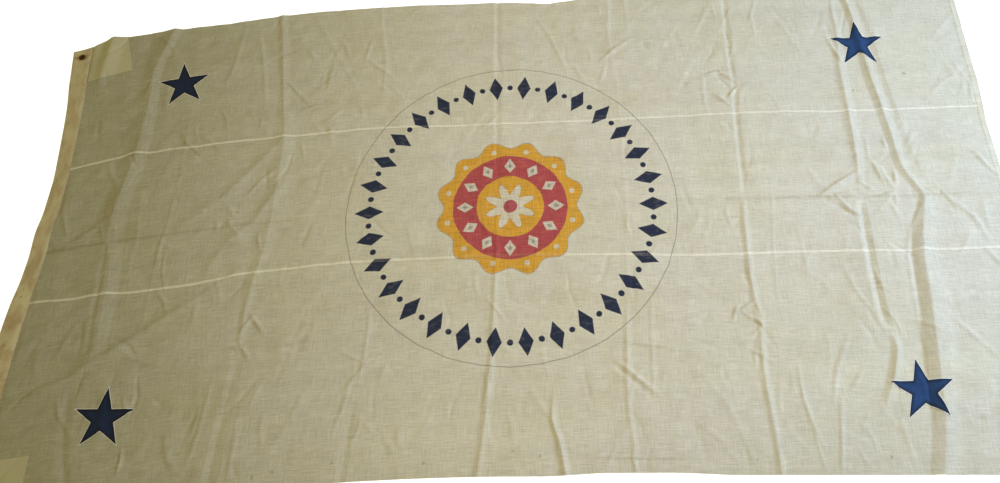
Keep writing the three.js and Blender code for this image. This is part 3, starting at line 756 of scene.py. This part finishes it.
def dirt_and_painted_shade(s, t):
    """Share of darkening: grime on crests and by the hem, grime and painted shade along the middle fold,
    painted shade by the heading, more towards the lower hoist corner, and the lines of painted shadow and
    stains.
    """
    on_crests = np.clip(fold_rise(s, t) / 8, 0, 1) ** 2
    # grime and painted shade along the middle fold
    middle_dirt_and_shade = np.clip(fold_mid(s, 1) / 3, 0, 1) * np.exp(-((t - fold_mid(s)) / 5) ** 2)
    # painted shade where the cloth dips beside the heading
    shade_by_heading = fade(s - HEADING_INNER, 30, 1.2)
    by_hem = fade(t + HALF_HOIST, 90, 1.5)
    in_corner = fade(np.hypot(s + HALF_FLY, t + HALF_HOIST), 800, 1)
    darkening = 0.25 * on_crests + 1.2 * middle_dirt_and_shade + 0.3 * shade_by_heading + 0.35 * by_hem + 0.45 * in_corner
    # lines of painted shadow and shade, and one of stains
    for width, share, *places in SHADOW_AND_STAIN_LINES:
        darkening += share * crease_profile(s, t, np.array(places, float), width)
    return np.clip(darkening, 0, 1)


def of_two(operation):
    """How a value takes one kind of sum with a second value."""
    return lambda value, other: value.math(operation, other)


class Value:
    """A number worked out by the nodes of a surface, on which sums are written as plain sums."""

    def __init__(self, surface, socket):
        self.surface = surface
        self.socket = socket

    def math(self, operation, *others):
        node = self.surface.add("ShaderNodeMath", self, *others, operation=operation)
        return Value(self.surface, node.outputs[0])

    __add__ = of_two("ADD")
    __sub__ = of_two("SUBTRACT")
    __mul__ = of_two("MULTIPLY")
    __truediv__ = of_two("DIVIDE")

    def __abs__(self):
        return self.math("ABSOLUTE")

    def span(self, low, high, to_low=0.0, to_high=1.0):
        """The value taken smoothly from the range low..high to another range."""
        node = self.surface.add("ShaderNodeMapRange", self, low, high, to_low, to_high)
        node.interpolation_type = "SMOOTHSTEP"
        return Value(self.surface, node.outputs[0])


class Surface:
    """A procedural material, with patterns worked out on the cloth places (s, t) in metres."""

    def __init__(self, name, roughness):
        self.material = bpy.data.materials.new(name)
        self.material.use_nodes = True
        self.tree = self.material.node_tree
        self.shader = self.tree.nodes["Principled BSDF"]
        self.set("Roughness", roughness)
        self.place = self.add("ShaderNodeUVMap", uv_map=CLOTH_MAP).outputs[0]
        split = self.add("ShaderNodeSeparateXYZ", self.place)
        self.s, self.t = Value(self, split.outputs[0]), Value(self, split.outputs[1])
        self.draws = 0

    def feed(self, socket, value):
        value = getattr(value, "socket", value)
        if isinstance(value, bpy.types.NodeSocket):
            self.tree.links.new(value, socket)
        else:
            socket.default_value = value

    def set(self, name, value):
        self.feed(self.shader.inputs[name], value)

    def add(self, kind, *values, **settings):
        node = self.tree.nodes.new(kind)
        for setting, value in settings.items():
            setattr(node, setting, value)
        for socket, value in zip(node.inputs, values):
            self.feed(socket, value)
        return node

    def noise(self, size_s, size_t, detail=2.0, roughness=0.5):
        """Noise with lumps of these sizes, in metres, along and up the cloth. Each one is a new pattern."""
        self.draws += 1
        apart = 13.7 * self.draws
        scaled = self.add("ShaderNodeVectorMath", self.place, (1 / size_s, 1 / size_t, 1), (apart, apart, 0),
                          operation="MULTIPLY_ADD").outputs[0]
        node = self.add("ShaderNodeTexNoise", scaled, noise_dimensions="2D")
        for name, value in (("Scale", 1), ("Detail", detail), ("Roughness", roughness)):
            node.inputs[name].default_value = value
        return Value(self, node.outputs[0])

    def away(self, s, t):
        """Distance, in metres, from a place in millimetres."""
        node = self.add("ShaderNodeVectorMath", self.place, (s * MM, t * MM, 0), operation="DISTANCE")
        return Value(self, node.outputs["Value"])

    def wear_and_shade(self):
        """The share of darkening from use, grime and painted shade that the mesh brings along."""
        return Value(self, self.add("ShaderNodeAttribute", attribute_name=WEAR_AND_SHADE).outputs["Fac"])

    def mix(self, factor, first, second, blend="MIX"):
        node = self.add("ShaderNodeMix", factor, data_type="RGBA", blend_type=blend)
        for socket, value in ((node.inputs[6], first), (node.inputs[7], second)):
            self.feed(socket, (*value, 1) if isinstance(value, tuple) else value)
        return node.outputs[2]

    def tone(self, colour, value, strength):
        """colour made lighter and darker by a value around a half."""
        return self.mix(1.0, colour, value * (2 * strength) + (1 - strength), blend="MULTIPLY")

    def finish(self, colour, relief, depth, strength):
        """The material, with its colour and its fine relief."""
        bump = self.add("ShaderNodeBump")
        for name, value in (("Strength", strength), ("Distance", depth), ("Height", relief)):
            self.feed(bump.inputs[name], value)
        self.set("Normal", bump.outputs[0])
        self.set("Base Color", colour)
        return self.material


def weave(surface, thread, slub):
    """Two crossing sets of uneven threads, as one value around a half."""
    across = surface.noise(slub, thread, detail=3.0, roughness=0.6)
    down = surface.noise(thread, slub, detail=3.0, roughness=0.6)
    return across * 0.55 + down * 0.45


def painted(surface, colour, cover, threads):
    """The painted round device in the middle, in millimetres: rings, lozenges, dots and a rosette."""
    s, t = surface.s / MM, surface.t / MM
    radius = (s * s + t * t).math("SQRT") + (surface.noise(0.05, 0.05) - 0.5) * PAINT_WOBBLE
    angle = t.math("ARCTAN2", s)
    patchy = surface.noise(0.03, 0.012, detail=4.0).span(0.25, 0.5, 0.93, 1.0)

    def inside(value, edge, soft=1.2):
        return value.span(edge - soft, edge + soft, 1.0, 0.0)

    def ring(value, at, half):
        return inside(abs(value - at), half)

    def waved(count, depth):
        return radius + (angle * count).math("COSINE") * depth

    def aside(count, shift):
        """Distance round the ring from the nearest of so many equal places."""
        part = (angle * (count / (2 * math.pi)) + (0.5 + shift)).math("FRACT") - 0.5
        return part * (2 * math.pi / count) * radius

    def lozenges(count, at, half_wide, half_tall):
        return inside(abs(aside(count, 0)) / half_wide + abs(radius - at) / half_tall, 1.0, 0.06)

    def dots(count, at, size):
        """Dots half way between the lozenges of a ring."""
        sideways, outward = aside(count, 0.5), radius - at
        return inside((sideways * sideways + outward * outward).math("SQRT"), size)

    rosette, flower = waved(SCALLOPS, 12), waved(PETALS, 18)
    coats = [
        (PENCIL, ring(radius, PENCIL_RING_R, PENCIL_HALF), 0.62),
        (PAINT_NAVY, lozenges(LOZENGES, LOZENGE_RING_R, 21, 42), 0.99),
        (PAINT_NAVY, dots(LOZENGES, LOZENGE_RING_R, 8.5), 0.99),
        (PAINT_GOLD, inside(rosette, ROSETTE_R), 0.96),
        (PENCIL, ring(rosette, ROSETTE_R + 1, PENCIL_HALF), 0.5),
        (PAINT_RED, ring(radius, RED_RING_R, RED_HALF), 0.95),
        (CREAM, lozenges(SCALLOPS, RED_RING_R, 17, 24), 0.9),
        (PENCIL, lozenges(SCALLOPS, RED_RING_R, 6, 9), 0.5),
        (CREAM, dots(SCALLOPS, ROSETTE_DOTS_R, 8), 0.85),
        (CREAM, inside(flower, FLOWER_R), 0.9),
        (PENCIL, ring(flower, FLOWER_R + 1, PENCIL_HALF), 0.5),
        (PAINT_RED, inside(radius, EYE_R), 0.95),
    ]
    for paint, mask, strength in coats:
        woven = surface.tone(paint, threads, PAINT_WEAVE)
        colour = surface.mix(mask * (patchy * (strength * cover)), colour, woven)
    return colour


def bunting_material(name, cream, hoist_darkening, cover):
    """Aged bunting: slubby open weave, darker and yellower towards the hoist from soil and painted shade,
    stained, with the painted device.
    """
    surface = Surface(name, roughness=0.95)
    threads = weave(surface, thread=0.0026, slub=0.050)
    fine = weave(surface, thread=0.0011, slub=0.022)
    streaks = surface.noise(0.9, 0.035, detail=3.0)
    clouds = surface.noise(0.085, 0.07, detail=3.0)
    drift = surface.noise(0.36, 0.30)
    mottle = surface.noise(0.16, 0.13, detail=4.0, roughness=0.55)
    # Darker and yellower towards the hoist: part soil, part painted shade of the dim hoist end
    hoist_darkening_share = surface.s.span(-1.45, 0.0, hoist_darkening, 0.0) * clouds.span(0.3, 0.7, 0.93, 1.07)
    hoist_darkening_share = hoist_darkening_share * threads.span(0.35, 0.65, 1.06, 0.94)
    colour = surface.mix(hoist_darkening_share, cream, tuple(a * b for a, b in zip(cream, HOIST_SOIL_AND_SHADE)))
    colour = surface.mix(drift.span(0.35, 0.65), colour, YELLOWED, blend="MULTIPLY")
    for pattern, strength in ((threads, 0.43), (fine, 0.25), (streaks, 0.07), (clouds, 0.03)):
        colour = surface.tone(colour, pattern, strength)
    colour = surface.mix(mottle.span(0.5, 0.75, 0.0, 0.16), colour, STAIN_BROWN, blend="MULTIPLY")
    # Ground-in grime and painted shade, in the share that the mesh brings along
    dirt_and_shade_share = surface.wear_and_shade() * surface.noise(0.02, 0.02, detail=3.0).span(0.3, 0.7, 0.35, 0.65)
    colour = surface.mix(dirt_and_shade_share, colour, DIRT_AND_SHADE_TINT, blend="MULTIPLY")
    ragged = (surface.noise(0.008, 0.008, detail=3.0) - 0.5) * 0.006
    for s, t, radius in SPOTS:
        mask = (surface.away(s, t) + ragged).span(0.3 * radius * MM, 1.2 * radius * MM, 0.42, 0.0)
        colour = surface.mix(mask, colour, SPOT_BROWN)
    if cover:
        colour = painted(surface, colour, cover, threads)
    return surface.finish(colour, threads * 0.7 + fine * 0.5, depth=0.0007, strength=0.6)


def plain_cloth_material(name, hoist, fly, worn_and_shaded, thread, slub, contrast):
    """A plain woven cloth without paint: its colours by the hoist and by the fly, which on the stars are
    painted shade and painted light, and its darker colour where use has marked it or painted shade lies on
    it.
    """
    surface = Surface(name, roughness=0.92)
    threads = weave(surface, thread, slub)
    mottle = surface.noise(0.05, 0.05, detail=4.0)
    # From the hoist's colour to the fly's: on the stars, painted shade by the hoist and painted light by the
    # fly
    colour = surface.mix(surface.s.span(-1.1, 1.1), hoist, fly)
    colour = surface.tone(colour, threads, contrast)
    colour = surface.tone(colour, mottle, 0.5 * contrast)
    # Darker where use has marked it, and where the mesh brings painted shade
    colour = surface.mix(surface.wear_and_shade(), colour, worn_and_shaded, blend="MULTIPLY")
    return surface.finish(colour, threads, depth=0.0006, strength=0.6)


def canvas_material():
    """Tan canvas tape with a paler inner border and rust stains."""
    surface = Surface("canvas_tape", roughness=0.95)
    threads = weave(surface, thread=0.0014, slub=0.012)
    mottle = surface.noise(0.03, 0.09, detail=4.0)
    border = surface.s.span((HEADING_INNER - 11) * MM, (HEADING_INNER - 8) * MM)
    colour = surface.mix(border, CANVAS_TAN, CANVAS_PALE)
    colour = surface.tone(colour, threads, 0.20)
    colour = surface.tone(colour, mottle, 0.20)
    grubby = surface.noise(0.03, 0.06, detail=3.0).span(0.35, 0.65) * surface.t.span(-0.8, 0.8, 1.0, 0.5)
    colour = surface.mix(grubby, colour, CANVAS_SOIL, blend="MULTIPLY")
    rusty = surface.noise(0.011, 0.013, detail=3.0).span(0.66, 0.78, 0.0, 0.55)
    colour = surface.mix(rusty, colour, RUST)
    ragged = (surface.noise(0.012, 0.012, detail=3.0) - 0.5) * 0.016
    for end in (1, -1):
        away = surface.away(EYELET_IN - HALF_FLY, end * (HALF_HOIST - EYELET_FROM_END)) + ragged
        colour = surface.mix(away.span(EYELET_R * MM, 1.9 * EYELET_R * MM, 0.6, 0.0), colour, RUST)
    return surface.finish(colour, threads, depth=0.0005, strength=0.7)


def thread_material(name, colour):
    surface = Surface(name, roughness=0.9)
    colour = surface.tone(colour, surface.noise(0.004, 0.004), 0.25)
    return surface.finish(colour, surface.noise(0.0012, 0.0012), depth=0.0002, strength=0.5)


def brass_material():
    """Brass gone dark brown, brighter and smoother where a hook has rubbed it."""
    surface = Surface("tarnished_brass", roughness=0.5)
    patches = surface.noise(0.003, 0.003, detail=4.0)
    surface.set("Metallic", 0.8)
    surface.set("Roughness", patches.span(0.3, 0.7, 0.7, 0.42))
    colour = surface.mix(patches.span(0.4, 0.65), BRASS_DARK, BRASS)
    return surface.finish(colour, patches, depth=0.0003, strength=0.5)


bunting = bunting_material("bunting_single", CREAM, hoist_darkening=1.0, cover=1.0)
bunting_seam = bunting_material("bunting_seam", CREAM_SEAM, hoist_darkening=0.5, cover=0.95)
bunting_hem = bunting_material("bunting_hem", CREAM_HEM, hoist_darkening=0.0, cover=0.0)
patch_cloth = plain_cloth_material("patch_cotton", PATCH_CREAM, PATCH_CREAM, PATCH_DIRT_AND_SHADE,
                                   thread=0.0016, slub=0.02, contrast=0.12)
star_cloth = plain_cloth_material("star_cotton", NAVY_SHADED_BY_HOIST, NAVY_LIT_BY_FLY, STAR_EDGE,
                                  thread=0.0024, slub=0.02, contrast=0.5)
canvas = canvas_material()
cream_thread = thread_material("cream_thread", THREAD)
navy_thread = thread_material("navy_thread", THREAD_NAVY)
pale_thread = thread_material("pale_thread", THREAD_PALE)
brass = brass_material()


def settle(piece, node=None):
    """Fixes a piece to the part's root body, and hides the solid that it stands for."""
    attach(piece, "root")
    if node:
        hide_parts(node)


# The three strips
grids = {node: Grid(rows) for node, rows in STRIP_ROWS.items()}
for node, grid in grids.items():
    strip = sheet_from("cloth_" + node, grid, [bunting, bunting_seam, bunting_hem])
    settle(strip, node)


def cloth_over(s, t):
    """Height of the cloth's upper face, taken a little high so that what lies on it stays clear of it."""
    nearby = 2.2
    around = [(0, 0), (nearby, 0), (-nearby, 0), (0, nearby), (0, -nearby)]
    in_hem = (t > TOP_INNER) | (t < BOTTOM_INNER)
    return np.max([cloth_rise(s + ds, t + dt) for ds, dt in around], axis=0) + CLOTH + HEM_EXTRA * in_hem


class Layer:
    """A piece of cloth with four corners, sewn on top of a strip."""

    def __init__(self, corners, count):
        a, b, c, d = np.array(corners, float)
        across, up = np.meshgrid(np.linspace(0, 1, count), np.linspace(0, 1, count))
        across, up = across[..., None], up[..., None]
        places = (a * (1 - across) + b * across) * (1 - up) + (d * (1 - across) + c * across) * up
        self.s, self.t = places[..., 0], places[..., 1]
        self.low = cloth_over(self.s, self.t) + GAP
        self.high = self.low + SEWN_ON
        self.finish = np.full(self.s.shape, PLAIN_FINISH)


# Patches at the hoist corners
for node, corners in PATCHES.items():
    piece = sheet_from("cloth_" + node, Layer(corners, count=45), [patch_cloth])
    settle(piece, node)


# Stars
def star_outline(middle, turn, scale=1.0, per_side=1):
    """Cloth places round a five-pointed star, which keeps its true shape on the floor."""
    count = np.arange(10)
    radius = np.where(count % 2 == 0, STAR_R, STAR_R * STAR_INNER) * scale
    angle = np.radians(90 + turn + 36 * count)
    corners = points(radius * np.cos(angle), radius * np.sin(angle))
    onward = np.roll(corners, -1, axis=0)
    shares = np.arange(per_side) / per_side
    sides = np.concatenate([a + (b - a) * shares[:, None] for a, b in zip(corners, onward)])
    s = middle[0] + sides[:, 0]
    return points(s, middle[1] + sides[:, 1] + bend(s) - bend(middle[0]))


def star(node, middle, turn):
    """A star with a turned edge: rings of points, from a small one in the middle out to the outline."""
    rings = 28
    outline = star_outline(middle, turn, per_side=16) - np.array(middle)
    shares = np.linspace(0.02, 1, rings)
    places = shares[:, None, None] * outline[None] + np.array(middle)
    s, t = places[..., 0], places[..., 1]
    inward = (1 - shares)[:, None] * STAR_R * STAR_INNER + 0 * s
    turned_edge = 0.25 * np.exp(-((inward - 2.5) / 2.2) ** 2)
    rounded_edge = 0.4 * fade(inward, 1.5)
    low = cloth_over(s, t) + GAP
    high = low + SEWN_ON + turned_edge - rounded_edge
    x, y = plan(s, t)
    index = np.arange(s.size).reshape(s.shape)
    above = index + s.size
    edge = np.stack([index[-1], above[-1]])
    faces = [*np.concatenate([bands(index), bands(edge)])[:, [0, 3, 2, 1]].tolist(),
             *bands(above)[:, [1, 2, 3, 0]].tolist(), index[0, ::-1].tolist(), above[0].tolist()]
    vertices = np.concatenate([points(x, y, low), points(x, y, high)])
    doubled = np.tile(fade(inward, STAR_WORN, 1.0).ravel(), 2)
    places = np.tile(points(s, t), (2, 1))
    piece = add_mesh("cloth_" + node, vertices, faces, places, [star_cloth], wear_and_shade=doubled)
    settle(piece, node)


for node, (middle, turn) in STARS.items():
    star(node, middle, turn)


# Heading: one canvas tape folded round the hoist edge of the strips
def heading():
    count = 300
    fold_r = HEADING_HEIGHT / 2
    turns = np.linspace(np.pi / 2, 3 * np.pi / 2, 11)
    flat_run = np.linspace(HEADING_WIDTH, fold_r, 12)

    def run(start, radius, turns, end):
        """One face of the tape, from a free edge round the fold to the other free edge."""
        fold = [(fold_r + radius * math.cos(a), fold_r + radius * math.sin(a)) for a in turns]
        return [(u, start) for u in flat_run[:-1]] + fold + [(u, end) for u in flat_run[-2::-1]]

    outer = run(HEADING_HEIGHT, fold_r, turns, 0)
    inner = run(CANVAS, fold_r - CANVAS, turns[::-1], HEADING_HEIGHT - CANVAS)
    section = np.array(outer + inner)
    t = np.linspace(-HALF_HOIST, HALF_HOIST, count)[:, None]
    s = section[None, :, 0] - HALF_FLY
    wander = 0.5 * np.sin(t / 37) + 0.35 * np.sin(t / 14.3 + 1)
    places_s = s + wander * np.clip((s + HALF_FLY) / HEADING_WIDTH, 0, 1)
    x, y = plan(places_s, t + 0 * s)
    lifted = np.clip(section[None, :, 1] - CANVAS, 0, None) / HEADING_HEIGHT
    z = section[None, :, 1] + lifted * (0.25 * np.sin(t / 23 + s / 9) + 0.2 * np.sin(t / 61 - s / 17))
    index = np.arange(z.size).reshape(z.shape)
    faces = bands(index).tolist() + cap_faces(index[0], len(outer)) + cap_faces(index[-1][::-1], len(inner))
    piece = add_mesh("heading_tape", points(x, y, z), faces, points(places_s, t + 0 * s), [canvas])
    for node in EYELETS:
        cut_hole(piece, node)
    settle(piece, "heading")


def cap_faces(ring, split):
    """Faces that close the end of a folded section: quads between its outer and inner runs."""
    first, second = list(ring[:split]), list(ring[split:])[::-1]
    return [(first[i], first[i + 1], second[i + 1], second[i]) for i in range(split - 1)]


def eyelet_place(node):
    """Where the middle of an eyelet lies on the floor, in millimetres."""
    low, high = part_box(node)
    return (low.x + high.x) / 2 / MM, (low.y + high.y) / 2 / MM


def cut_hole(piece, node):
    """Cuts the hole of an eyelet through a piece."""
    x, y = eyelet_place(node)
    bpy.ops.mesh.primitive_cylinder_add(vertices=EYELET_SIDES, radius=(EYELET_BARREL_R + GAP) * MM,
                                        depth=20 * MM, location=(x * MM, y * MM, 0))
    cutter = bpy.context.object
    cut = piece.modifiers.new("hole", "BOOLEAN")
    cut.object = cutter
    cut.operation = "DIFFERENCE"
    bpy.context.view_layer.objects.active = piece
    bpy.ops.object.modifier_apply(modifier=cut.name)
    bpy.data.objects.remove(cutter)


heading()


# Eyelets
def eyelet(node):
    """A barrel with a lower flange and a rolled crown, turned about its own axis."""
    middle_r = (EYELET_HOLE_R + EYELET_R) / 2
    half = (EYELET_R - EYELET_HOLE_R) / 2
    crown = [(middle_r + half * math.cos(a), EYELET_SEAT + EYELET_CROWN * math.sin(a))
             for a in np.linspace(0, np.pi, 15)]
    flange = [(EYELET_HOLE_R, EYELET_FLANGE), (EYELET_HOLE_R + 0.2, 0.2), (EYELET_HOLE_R + 0.6, 0),
              (EYELET_R - 0.5, 0), (EYELET_R - 0.1, 0.3), (EYELET_R - 0.4, EYELET_FLANGE),
              (EYELET_BARREL_R, EYELET_FLANGE), (EYELET_BARREL_R, EYELET_SEAT),
              (EYELET_R - 0.4, EYELET_SEAT - 0.05)]
    profile = np.array(crown + flange)
    angles = np.linspace(0, 2 * np.pi, EYELET_SIDES, endpoint=False)[:, None]
    middle_x, middle_y = eyelet_place(node)
    aside, up = profile[None, :, 0] * np.cos(angles), profile[None, :, 0] * np.sin(angles)
    z = profile[None, :, 1] + 0 * angles
    index = np.arange(z.size).reshape(z.shape)
    faces = bands(np.concatenate([index, index[:1]])).tolist()
    piece = add_mesh("brass_" + node, points(middle_x + aside, middle_y + up, z), faces,
                     points(aside + z, up + z), [brass])
    settle(piece, node)


for node in EYELETS:
    eyelet(node)


# Sewing
def stitches(name, runs, material, wide_half=0.35):
    """Short raised stitches along runs of points in millimetres."""
    long_half, tall_half = 1.3, 0.3
    vertices = []
    for run in runs:
        way = np.gradient(run, axis=0)
        way /= np.linalg.norm(way, axis=1, keepdims=True)
        aside = np.cross([0, 0, 1], way)
        aside /= np.linalg.norm(aside, axis=1, keepdims=True)
        up = np.cross(way, aside)
        arms = [way * long_half, aside * wide_half, up * tall_half]
        vertices.append(np.stack([run + sign * arm for arm in arms for sign in (1, -1)], 1))
    corners = np.concatenate(vertices)
    sides = np.array([(0, 2, 4), (2, 1, 4), (1, 3, 4), (3, 0, 4), (2, 0, 5), (1, 2, 5), (3, 1, 5), (0, 3, 5)])
    faces = (np.arange(len(corners))[:, None, None] * 6 + sides).reshape(-1, 3).tolist()
    ends = corners.reshape(-1, 3)
    settle(add_mesh(name, ends, faces, ends[:, :2], [material]))


def run_over(s, t, extra):
    """Points of a row of stitches that lies on the cloth at the places (s, t)."""
    s, t = np.broadcast_arrays(np.asarray(s, float), np.asarray(t, float))
    x, y = plan(s, t)
    return points(x, y, cloth_rise(s, t) + CLOTH + extra + CLOTH_STITCH_UP)


fly_run = np.arange(HEADING_INNER + RAMP, HALF_FLY - 2, STITCH)
hoist_run = np.arange(-HALF_HOIST + EDGE_STITCH_IN, HALF_HOIST - EDGE_STITCH_IN, STITCH)
stitches("strip_stitches", [
    *[run_over(fly_run, seam(fly_run) + offset, SEAM_EXTRA)
      for seam in (upper_seam, lower_seam) for offset in (SEAM_STITCH_IN, SEAM_WIDTH - SEAM_STITCH_IN)],
    run_over(fly_run, HALF_HOIST - TOP_HEM + HEM_STITCH_IN, HEM_EXTRA),
    run_over(fly_run, -HALF_HOIST + BOTTOM_HEM - HEM_STITCH_IN, HEM_EXTRA),
    run_over(HALF_FLY - FLY_HEM + HEM_STITCH_IN, hoist_run, HEM_EXTRA),
    run_over(HALF_FLY - EDGE_STITCH_IN, hoist_run, HEM_EXTRA),
], cream_thread)


def heading_run(inset):
    x, y = plan(np.full(hoist_run.shape, inset - HALF_FLY), hoist_run)
    return points(x, y, np.full(hoist_run.shape, HEADING_HEIGHT + STITCH_UP))


stitches("heading_stitches", [heading_run(inset) for inset in HEADING_STITCH_IN], cream_thread)


def outline_run(corners, extra, step=STITCH):
    """A row of stitches round a closed outline of cloth places."""
    loop = np.concatenate([corners, corners[:1]])
    lengths = np.concatenate([[0], np.cumsum(np.hypot(*np.diff(loop, axis=0).T))])
    along = np.arange(0, lengths[-1], step)
    s, t = np.interp(along, lengths, loop[:, 0]), np.interp(along, lengths, loop[:, 1])
    x, y = plan(s, t)
    return points(x, y, cloth_over(s, t) + extra)


def round_stars(scale, extra, step=STITCH):
    return [outline_run(star_outline(middle, turn, scale), extra, step) for middle, turn in STARS.values()]


def drawn_in(corners, inset):
    """An outline of cloth places drawn in towards its middle."""
    middle = (np.min(corners, axis=0) + np.max(corners, axis=0)) / 2
    away = np.array(corners, float) - middle
    return middle + np.sign(away) * (np.abs(away) - inset)


stitches("patch_stitches", [outline_run(drawn_in(corners, PATCH_STITCH_IN), GAP + SEWN_ON)
                            for corners in PATCHES.values()], cream_thread)
stitches("star_stitches", round_stars(STAR_STITCH_SCALE, GAP + SEWN_ON + STITCH_UP), navy_thread)
stitches("star_edging", round_stars(STAR_EDGING_SCALE, STAR_EDGING_UP, STAR_EDGING_STEP), pale_thread,
         STAR_EDGING_HALF)


# Floor, light and camera
def floor():
    """A pale floor that glows a little, so that it stays near white, but not down in the eyelet holes."""
    reach = 60
    mesh = bpy.data.meshes.new("floor")
    corners = [(-reach, -reach, 0), (reach, -reach, 0), (reach, reach, 0), (-reach, reach, 0)]
    mesh.from_pydata(corners, [], [(0, 1, 2, 3)])
    surface = Surface("pale_floor", roughness=0.9)
    surface.place = surface.add("ShaderNodeTexCoord").outputs["Object"]
    hole = EYELET_HOLE_R * MM
    upper, lower = (surface.away(*eyelet_place(node)).span(hole, 1.5 * hole) for node in EYELETS)
    surface.set("Base Color", surface.mix(upper * lower, HOLE_SHADE, FLOOR_GREY))
    surface.set("Emission Color", (1, 1, 1, 1))
    surface.set("Emission Strength", upper * lower * FLOOR_GLOW)
    mesh.materials.append(surface.material)
    plane = in_scene("floor", mesh)


def area_light(name, place, target, size, energy, colour):
    light = bpy.data.lights.new(name, "AREA")
    light.shape = "RECTANGLE"
    light.size, light.size_y = size
    light.energy = energy
    light.color = colour
    lamp = in_scene(name, light)
    lamp.location = place
    lamp.rotation_euler = (Vector(target) - Vector(place)).to_track_quat("-Z", "Y").to_euler()


def camera():
    data = bpy.data.cameras.new("camera")
    data.sensor_fit = "HORIZONTAL"
    data.sensor_width = SENSOR
    data.lens = CAMERA_LENS
    seen = in_scene("camera", data)
    seen.location = CAMERA_PLACE
    seen.rotation_euler = [math.radians(angle) for angle in CAMERA_TURN]
    bpy.context.scene.camera = seen


floor()
area_light("window", place=(2.7, 0.1, 1.5), target=(0.2, 0, 0), size=(1.6, 1.2), energy=54,
           colour=(0.54, 0.71, 1.0))
area_light("ceiling", place=(0.3, -0.1, 2.2), target=(0.3, 0, 0), size=(1.5, 1.5), energy=17.5,
           colour=(1.0, 0.79, 0.72))
world = bpy.data.worlds.new("room")
world.use_nodes = True
world.node_tree.nodes["Background"].inputs["Color"].default_value = (*ROOM_LIGHT, 1)
bpy.context.scene.world = world
bpy.context.scene.view_settings.view_transform = "Standard"
camera()

bpy.context.view_layer.update()
